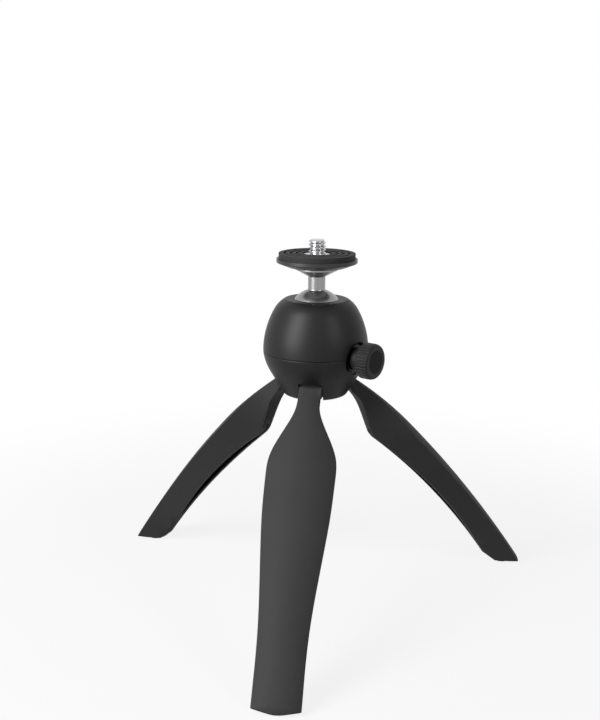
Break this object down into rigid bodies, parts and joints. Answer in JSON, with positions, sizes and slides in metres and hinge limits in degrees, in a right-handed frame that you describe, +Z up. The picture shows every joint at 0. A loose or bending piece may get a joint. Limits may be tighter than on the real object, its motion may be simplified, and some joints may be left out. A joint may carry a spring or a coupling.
{
  "type": "mini tripod",
  "caption": "Small table tripod with a domed ball head, a round screw platform, a side locking knob and hollow fold-in legs.",
  "frame": {"origin": "where the camera screw's axis meets the top face of the rubber pad on the platform", "axes": "+Z up along the camera screw, -Y towards the front leg, the locking knob 60 degrees round from the front leg towards +X"},
  "size_m": [0.166, 0.145, 0.1397],
  "materials": {
    "housing": "soft-touch matt black",
    "leg": "fine-grained matt black",
    "knob": "black, satin",
    "knob_cap": "black, satin",
    "ball": "bright polished",
    "platform": "black, satin",
    "pad": "matt",
    "foot": "matt",
    "screw": "bright",
    "inner_steel": "plain",
    "bush": "black oxide",
    "seat": "turned",
    "ball_lining": "natural"
  },
  "bodies": {
    "head": {"upper_housing": "housing", "lower_housing": "housing", "retainer_plate": "inner_steel", "base_screw": "inner_steel", "thread_bush": "bush", "upper_ball_ring": "ball_lining", "front_hinge_pin": "inner_steel", "right_hinge_pin": "inner_steel", "left_hinge_pin": "inner_steel"},
    "wedge": {"lock_wedge": "inner_steel"},
    "knob": {"lock_knob": "knob", "knob_cap": "knob_cap", "lock_screw": "screw"},
    "seat": {"ball_seat": "seat"},
    "cup": {"friction_cup": "ball_lining"},
    "camera_mount": {"ball": "ball", "camera_platform": "platform", "platform_pad": "pad", "camera_screw": "screw"},
    "front_leg": {"front_leg": "leg", "front_rubber_foot": "foot"},
    "right_leg": {"right_leg": "leg", "right_rubber_foot": "foot"},
    "left_leg": {"left_leg": "leg", "left_rubber_foot": "foot"}
  },
  "joints": [
    {"name": "knob_turn", "type": "hinge", "parent": "wedge", "child": "knob", "pos_m": [0, 0, -0.0371], "axis": [0.866, -0.5, 0], "range_deg": [0, 540]},
    {"name": "wedge_slide", "type": "slide", "parent": "head", "child": "wedge", "axis": [0.866, -0.5, 0], "range_m": [0, 0.0015]},
    {"name": "seat_lift", "type": "slide", "parent": "head", "child": "seat", "axis": [0, 0, -1], "range_m": [0, 0.00032]},
    {"name": "ball_pan", "type": "hinge", "parent": "seat", "child": "cup", "pos_m": [0, 0, -0.0236], "axis": [0, 0, 1], "continuous": true},
    {"name": "ball_tilt", "type": "hinge", "parent": "cup", "child": "camera_mount", "pos_m": [0, 0, -0.0236], "axis": [1, 0, 0], "range_deg": [-32, 32]},
    {"name": "front_leg_fold", "type": "hinge", "parent": "head", "child": "front_leg", "pos_m": [0, -0.0095, -0.047], "axis": [1, 0, 0], "range_deg": [0, 43.5]},
    {"name": "right_leg_fold", "type": "hinge", "parent": "head", "child": "right_leg", "pos_m": [0.00823, 0.00475, -0.047], "axis": [-0.5, 0.866, 0], "range_deg": [0, 43.5]},
    {"name": "left_leg_fold", "type": "hinge", "parent": "head", "child": "left_leg", "pos_m": [-0.00823, 0.00475, -0.047], "axis": [-0.5, -0.866, 0], "range_deg": [0, 43.5]}
  ],
  "couplings": [
    {"joint": "knob_turn", "follows": "wedge_slide", "rad_per_m": 6283.2},
    {"joint": "seat_lift", "follows": "wedge_slide", "ratio": 0.21256}
  ]
}
